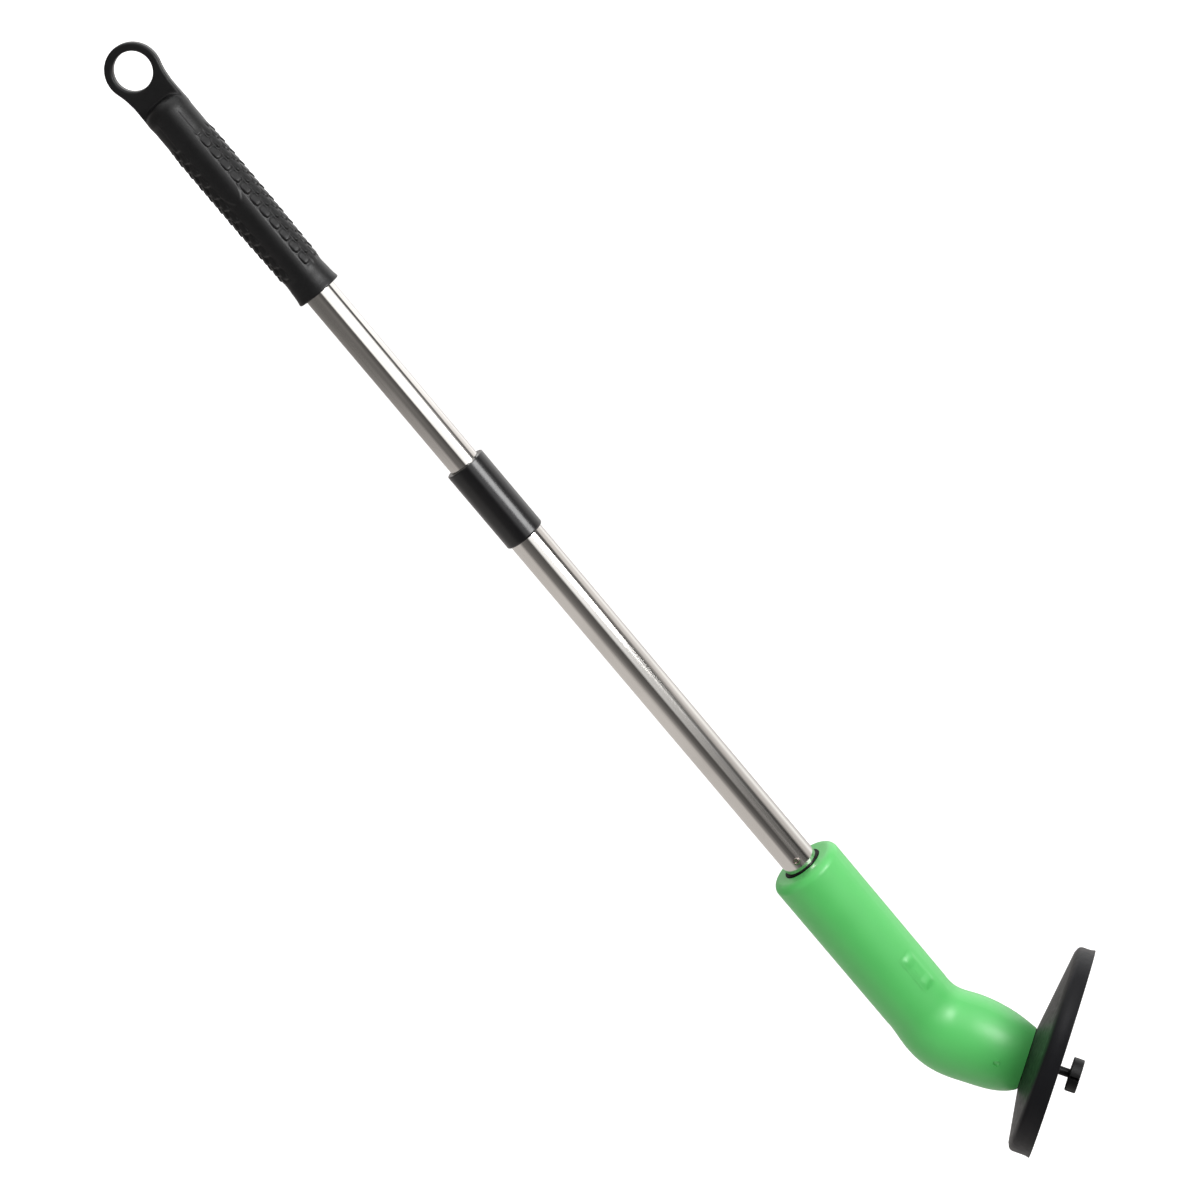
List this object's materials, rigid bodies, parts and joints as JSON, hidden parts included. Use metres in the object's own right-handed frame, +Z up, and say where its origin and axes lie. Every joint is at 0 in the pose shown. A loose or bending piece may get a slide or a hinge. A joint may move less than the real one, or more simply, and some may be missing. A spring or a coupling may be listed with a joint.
{
  "type": "telescopic grass trimmer",
  "caption": "Cordless grass trimmer on a telescopic steel pole: grip with a hang hole, twist-lock collar, elbow motor housing, shallow guard and a spinning tie hub.",
  "frame": {"origin": "centre of the hang hole in the grip", "axes": "+Z up the pole from the motor head to the grip; the pole's lower end bends towards +X, so XZ is the bend's plane; the hang hole's axis is turned 24.4 degrees from +Y about +Z"},
  "size_m": [0.1329, 0.133, 0.8609],
  "materials": {
    "grip_plastic": "satin moulded",
    "tube_steel": "polished stainless",
    "collar_plastic": "gloss",
    "nylon": "natural",
    "rivet_steel": "plain",
    "seal_rubber": "matt",
    "inner_plastic": "moulded",
    "housing_plastic": "satin moulded",
    "screw_steel": "zinc plated",
    "cell_wrap": "printed wrap, plain",
    "contact_metal": "nickel plated",
    "motor_steel": "zinc plated",
    "magnet": "ferrite",
    "winding": "enamelled copper and laminations",
    "guard_plastic": "gloss back, satin rim",
    "hub_plastic": "moulded"
  },
  "bodies": {
    "upper_pole": {"grip": "grip_plastic", "upper_tube": "tube_steel", "bush_carrier": "nylon"},
    "pole_bush": {"guide_bush": "nylon"},
    "lower_pole": {"collet": "nylon", "lower_tube": "tube_steel", "tube_rivet": "rivet_steel", "mouth_seal": "seal_rubber", "pole_socket": "inner_plastic", "housing_left": "housing_plastic", "housing_right": "housing_plastic", "housing_screws": "screw_steel", "boss_plug": "housing_plastic", "battery_holder": "inner_plastic", "battery_cells": "cell_wrap", "contact_plates": "contact_metal", "switch_body": "inner_plastic", "motor_can": "motor_steel", "motor_end_cap": "inner_plastic", "motor_magnets": "magnet", "motor_mount": "inner_plastic", "motor_screws": "screw_steel", "neck_seal": "seal_rubber", "guard": "guard_plastic", "guard_screws": "screw_steel"},
    "twist_collar": {"lock_collar": "collar_plastic"},
    "power_switch": {"power_slider": "housing_plastic"},
    "battery_cover": {"battery_door": "housing_plastic", "door_screw": "screw_steel"},
    "spindle": {"motor_shaft": "motor_steel", "armature": "winding", "commutator": "winding", "hub_stem": "hub_plastic", "hub_head": "hub_plastic"}
  },
  "joints": [
    {"name": "pole_twist", "type": "hinge", "parent": "upper_pole", "child": "pole_bush", "pos_m": [0, 0, -0.502], "axis": [0, 0, 1], "range_deg": [-180, 180]},
    {"name": "telescope", "type": "slide", "parent": "pole_bush", "child": "lower_pole", "axis": [0, 0, -1], "range_m": [-0.125, 0.14]},
    {"name": "collar_lock", "type": "hinge", "parent": "lower_pole", "child": "twist_collar", "pos_m": [0, 0, -0.317], "axis": [0, 0, 1], "range_deg": [0, 120]},
    {"name": "power_slide", "type": "slide", "parent": "lower_pole", "child": "power_switch", "axis": [0, 0, -1], "range_m": [0, 0.004]},
    {"name": "battery_door_lift", "type": "slide", "parent": "lower_pole", "child": "battery_cover", "axis": [0.3746, 0.9272, 0], "range_m": [0, 0.03]},
    {"name": "spindle_spin", "type": "hinge", "parent": "lower_pole", "child": "spindle", "pos_m": [0.0225, 0, -0.78081], "axis": [0.6428, 0, -0.766], "continuous": true}
  ]
}
